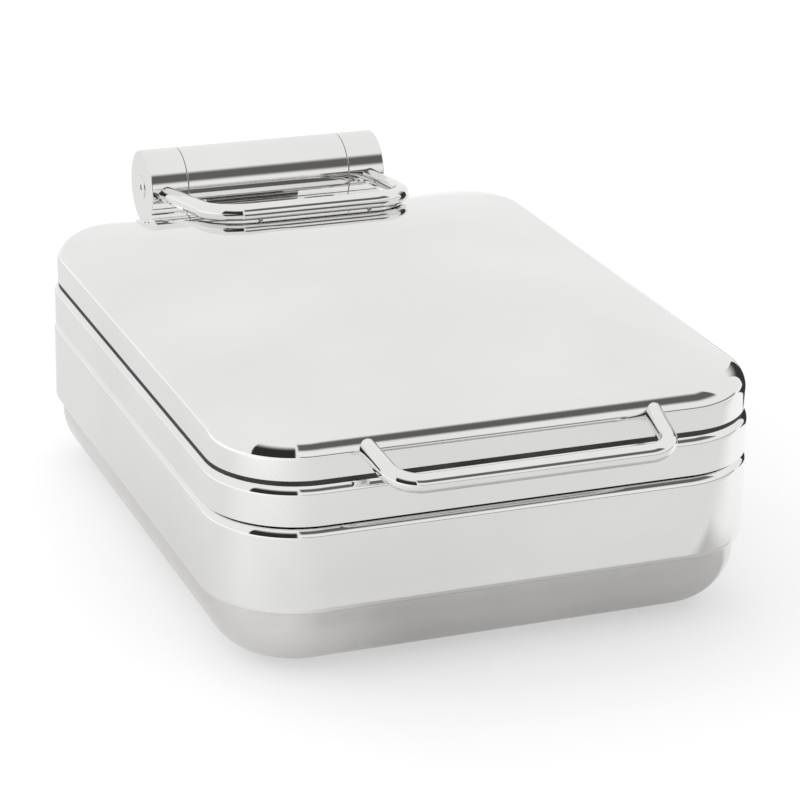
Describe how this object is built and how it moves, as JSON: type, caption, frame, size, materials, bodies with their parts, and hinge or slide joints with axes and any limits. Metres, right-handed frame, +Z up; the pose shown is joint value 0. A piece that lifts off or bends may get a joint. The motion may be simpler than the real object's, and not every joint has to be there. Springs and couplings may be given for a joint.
{
  "type": "electric buffet server",
  "caption": "Rectangular electric buffet server: polished steel lid on a rear barrel hinge, front lifting handle, lift-out food pan over a heated water pan.",
  "frame": {"origin": "centre of the base pan's flat underside, 3 mm above the surface that the feet stand on", "axes": "+Z up, -Y towards the guest side with the lifting handle, +Y towards the hinge, +X to the right as seen from the front"},
  "size_m": [0.4014, 0.6191, 0.2153],
  "materials": {
    "polished_steel": "mirror-polished stainless steel",
    "satin_steel": "satin stainless steel",
    "black_rubber": "matt silicone rubber",
    "black_plastic": "fine-textured black plastic",
    "fastener_steel": "turned steel",
    "rocker_plastic": "gloss black plastic",
    "amber_lens": "translucent amber",
    "cast_aluminium": "cast",
    "element_sheath": "oxidised alloy sheath",
    "mineral_mat": "woven mineral fibre",
    "bearing_nylon": "natural nylon",
    "brass_pins": "bright",
    "phenolic": "moulded phenolic"
  },
  "bodies": {
    "base": {"base_pan": "satin_steel", "bracket_screws": "fastener_steel", "bush_left": "bearing_nylon", "bush_right": "bearing_nylon", "casing": "polished_steel", "centre_barrel": "polished_steel", "control_plate": "satin_steel", "feet": "black_rubber", "food_pan": "satin_steel", "foot_screws": "fastener_steel", "heating_element": "element_sheath", "heating_plate": "cast_aluminium", "hinge_bracket": "satin_steel", "hinge_damper": "bearing_nylon", "inlet_pins": "brass_pins", "inlet_socket": "black_plastic", "inner_frame": "satin_steel", "insulation_mat": "mineral_mat", "lamp_housing": "black_plastic", "lamp_lens": "amber_lens", "lid_gasket": "black_rubber", "plate_screws": "fastener_steel", "power_plate": "satin_steel", "rim_frame": "polished_steel", "saddle_screws": "fastener_steel", "switch_housing": "black_plastic", "terminal_block": "phenolic", "thermal_cutout": "phenolic", "thermostat": "phenolic", "water_pan": "satin_steel"},
    "lid": {"lid_shell": "polished_steel", "bail": "polished_steel", "bail_studs": "fastener_steel", "handle": "polished_steel", "handle_screws": "fastener_steel", "knuckle_left": "polished_steel", "knuckle_right": "polished_steel", "pin_cap_left": "polished_steel", "pin_cap_right": "polished_steel", "hinge_pin": "fastener_steel"},
    "knob": {"thermostat_knob": "black_plastic", "thermostat_shaft": "fastener_steel"},
    "rocker": {"switch_rocker": "rocker_plastic"}
  },
  "joints": [
    {"name": "lid_hinge", "type": "hinge", "parent": "base", "child": "lid", "pos_m": [0, 0.292, 0.182], "axis": [-1, 0, 0], "range_deg": [0, 95]},
    {"name": "thermostat_turn", "type": "hinge", "parent": "base", "child": "knob", "pos_m": [0.076, 0.262, 0.08], "axis": [0, 1, 0], "range_deg": [0, 270]},
    {"name": "switch_rock", "type": "hinge", "parent": "base", "child": "rocker", "pos_m": [-0.068, 0.2497, 0.08], "axis": [1, 0, 0], "range_deg": [0, 14]}
  ]
}
